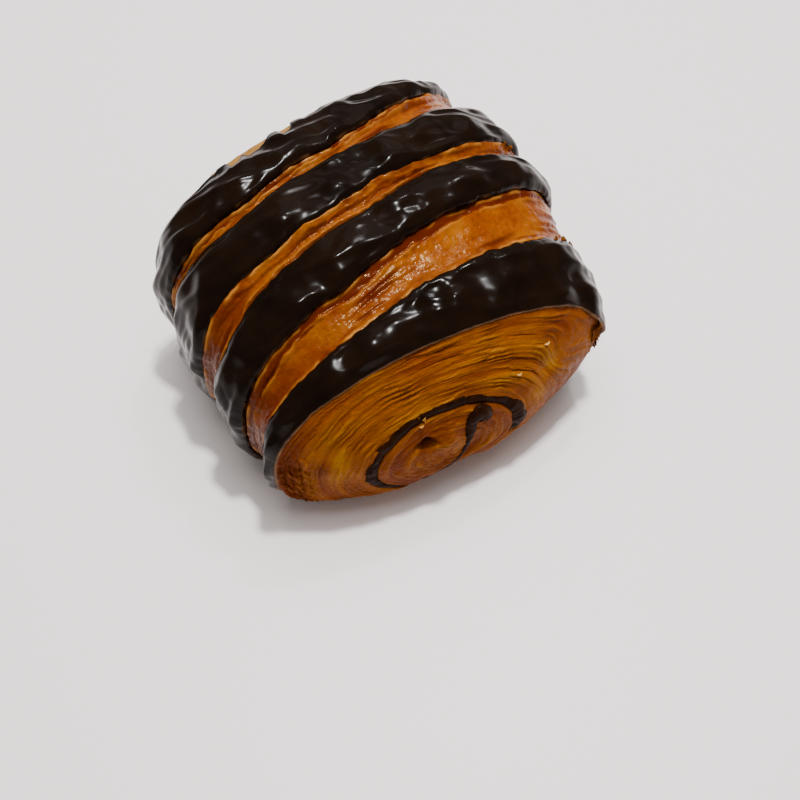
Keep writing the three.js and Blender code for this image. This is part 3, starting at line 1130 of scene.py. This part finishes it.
# Crumbs on the front face: x, z, way and size.
CRUMBS = [
    (-10.0, 30.6, (0.25, -0.5, 1), (1.7, 0.9)),
    (-11.0, 29.2, (1, -0.3, 0.4), (1.2, 0.7)),
    (-12.8, 5.2, (1, -0.2, 0.3), (1.8, 1.0)),
    (15.5, 31.0, (1, 0, 0.1), (1.3, 0.7)),
    (24.5, 34.0, (1, 0, 0.4), (1.5, 0.8)),
]
CORNER_LEAVES = 18
FOOT_LEAVES = 11
# Leaves at the right shoulder: the band edge, z and how far they spread from it.
SHOULDER_PLACES = [(1, 40.0, 3.0), (1, 37.0, 2.0), (4, 42.0, 2.0)]
LEAVES_PER_PLACE = 3


def flake(place, way, across, size, curl, seed):
    """Points and faces of one thin curled flake, closed, in millimetres."""
    place, way, across = (np.array(v, float) for v in (place, way, across))
    way = way / np.linalg.norm(way)
    across = across - (across @ way) * way
    across = across / np.linalg.norm(across)
    up = np.cross(way, across)
    a, b = np.meshgrid(
        np.linspace(-1, 1, FLAKE_ROWS), np.linspace(-1, 1, FLAKE_COLUMNS), indexing="ij")
    ragged = 1 + 0.45 * noise(a * 2.1 + seed, b * 1.3, 0, 61)
    half_width = size[1] / 2 * np.clip(1 - 0.75 * a**2, 0.15, 1) * ragged
    height = curl * (0.6 * a**2 - 0.4 * b**2) + 0.12 * noise(a * 1.7, b * 1.7 + seed, 0, 62)
    middle = place + (a * size[0] / 2)[..., None] * way
    middle = middle + (b * half_width)[..., None] * across + height[..., None] * up
    edge = np.minimum(1 - np.abs(a), 1 - np.abs(b))
    half = FLAKE_THICKNESS / 2 * (0.3 + 0.7 * smooth(0, 0.4, edge))[..., None] * up
    points = np.concatenate([(middle + half).reshape(-1, 3), (middle - half).reshape(-1, 3)])
    index = np.arange(a.size).reshape(a.shape)
    low = a.size
    i, j = np.ogrid[:FLAKE_ROWS - 1, :FLAKE_COLUMNS - 1]
    top = stacked([index[corner] for corner in cell_corners(i, j)])
    faces = np.stack([top, low + top[..., ::-1]], axis=2).reshape(-1, 4).tolist()
    border = np.concatenate([index[:, 0], index[-1, 1:], index[-2::-1, -1], index[0, -2:0:-1]])
    for first, second in zip(border, np.roll(border, -1)):
        faces.append([second, first, low + first, low + second])
    return points, faces


def flakes(name, chips, material):
    """One piece made of several flakes."""
    points, faces, start = [], [], 0
    for number, chip in enumerate(chips):
        chip_points, chip_faces = flake(*chip, seed=number * 3.7)
        points.append(chip_points)
        faces += [[start + c for c in face] for face in chip_faces]
        start += len(chip_points)
    add_mesh(name, np.concatenate(points), faces, material)


def draw(rng, *spans):
    """One random number from each span, in turn."""
    return tuple(rng.uniform(*span) for span in spans)


def front_crumbs(face):
    """Pale crumbs lying on the front face."""
    chips = [
        (face.point(x, z, -0.5), way, (0.2, 1, -0.6), size, 0.5) for x, z, way, size in CRUMBS
    ]
    flakes("front_crumbs", chips, flake_material("crumbs", *CRUMB_COLOURS))


def torn_corner(face):
    """Ragged leaves under the lip at the front face's right corner, and along the foot."""
    chips = []
    rng = np.random.default_rng(77)
    for _ in range(CORNER_LEAVES):
        z = rng.uniform(19, 28)
        x = 43.4 - 0.02 * (27 - z) ** 2 - rng.uniform(0.3, 5.0)
        place = face.point(x, z, -rng.uniform(0.0, 0.5))
        way = draw(rng, (-0.3, 0.3), (-0.35, 0.0), (0.6, 1.2))
        size = draw(rng, (1.8, 3.4), (0.8, 1.5))
        chips.append((place, way, (0.4, 1, 0), size, rng.uniform(0.1, 0.5)))
    for _ in range(FOOT_LEAVES):
        x, z = draw(rng, (-37, -2), (0.9, 3.6))
        place = face.point(x, z, rng.uniform(-0.1, 0.4))
        way = draw(rng, (-1, 1), (-0.5, 0.2), (-0.2, 0.4))
        size = draw(rng, (1.3, 2.6), (0.6, 1.1))
        chips.append((place, way, (0, 1, 0.3), size, rng.uniform(0.1, 0.4)))
    flakes("torn_corner", chips, flake_material("torn_leaves", *LEAF_COLOURS))


def torn_gap_edge():
    """Small torn leaves at the right shoulder, where bands meet the plain dough."""
    chips = []
    rng = np.random.default_rng(78)
    for edge, z, spread in SHOULDER_PLACES:
        row = plain_skin(edge, edge, np.array([0.0]))[:ARCH_POINTS, 0]
        right = row[row[:, 0] > 0]
        for _ in range(LEAVES_PER_PLACE):
            stray = rng.uniform(-spread, spread)
            place = right[np.argmin(np.abs(right[:, 2] - z - stray))] + (0.5, 0, 0.4)
            way = (0.5, *draw(rng, (-0.4, 0.4), (0.5, 1.2)))
            size = draw(rng, (1.4, 2.6), (0.7, 1.3))
            chips.append((place, way, (0, 1, 0), size, rng.uniform(0.2, 0.6)))
    flakes("torn_shoulder", chips, flake_material("shoulder_leaves", *LEAF_COLOURS))


# --- Build the roll ---
cocoa = cocoa_material()
plain = plain_material()
spiral = spiral_material()
chocolate = chocolate_material()

for number, (front, back) in enumerate(BANDS, start=1):
    band(number, front, back, cocoa)
for number, (front, back) in enumerate(GAPS, start=1):
    gap(number, front, back, plain)
for side, end, seed in (("front", FRONT_END, 500), ("back", BACK_END, 600)):
    face = spiral_end(f"{side}_spiral", end, spiral, seed)
    chocolate_ring(f"{side}_chocolate_ring", face, chocolate)
    chocolate_vein(f"{side}_chocolate_vein", face, chocolate)
    if side == "front":
        front_crumbs(face)
        torn_corner(face)
torn_gap_edge()


# --- Floor, light and camera ---
# The photo's view: azimuth, elevation, distance and target.
VIEW = (-27.7, 57.0, 0.3013, (-0.0032, -0.0185, 0.0))
LENS_MM = 51.75
LIGHT_TARGET = (0, 0, 0.02)
FLOOR_HALF_SIDE = 3.0
# Each light's name, azimuth, elevation, distance, size, power, and whether gloss mirrors it.
LIGHTS = [
    ("key", 115, 80, 1.0, (0.11, 0.07), 12.0, True),
    ("window", 130, 58, 1.2, (0.08, 0.05), 2, True),
    ("panel", 150, 48, 1.0, (0.7, 0.5), 0.8, True),
    ("fill", 150, 78, 0.9, (0.8, 0.8), 7.4, False),
]


def aim(obj, azimuth, elevation, distance, target):
    """Puts obj at that distance from target in that direction, looking at target."""
    a, e = math.radians(azimuth), math.radians(elevation)
    away = np.array([math.sin(a) * math.cos(e), -math.cos(a) * math.cos(e), math.sin(e)])
    obj.location = away * distance + np.array(target)
    obj.rotation_euler = (math.radians(90 - elevation), 0, a)


def placed(name, data):
    """A new object in the scene for a mesh, light or camera."""
    obj = bpy.data.objects.new(name, data)
    bpy.context.scene.collection.objects.link(obj)
    return obj


def add_floor():
    n = Nodes("floor")
    n.set(Base_Color=(0.94, 0.865, 0.852, 1), Roughness=0.5)
    mesh = bpy.data.meshes.new("floor")
    far = FLOOR_HALF_SIDE
    corners = [(-far, -far, 0), (far, -far, 0), (far, far, 0), (-far, far, 0)]
    mesh.from_pydata(corners, [], [(0, 1, 2, 3)])
    mesh.materials.append(n.material)
    placed("floor", mesh)


def add_light(name, azimuth, elevation, distance, size, power, mirrored):
    light = bpy.data.lights.new(name, "AREA")
    light.shape = "RECTANGLE"
    light.size, light.size_y = size
    light.energy = power
    lamp = placed(name, light)
    lamp.visible_glossy = mirrored
    aim(lamp, azimuth, elevation, distance, LIGHT_TARGET)


def add_world():
    world = bpy.data.worlds.new("studio")
    world.use_nodes = True
    background = world.node_tree.nodes["Background"]
    background.inputs["Color"].default_value = (0.95, 0.93, 0.90, 1)
    background.inputs["Strength"].default_value = 0.36
    bpy.context.scene.world = world


def add_camera():
    camera = bpy.data.cameras.new("camera")
    camera.lens = LENS_MM
    camera.sensor_width = 36
    camera.clip_start = 0.01
    eye = placed("camera", camera)
    aim(eye, *VIEW)
    bpy.context.scene.camera = eye


add_floor()
add_world()
for light in LIGHTS:
    add_light(*light)
add_camera()
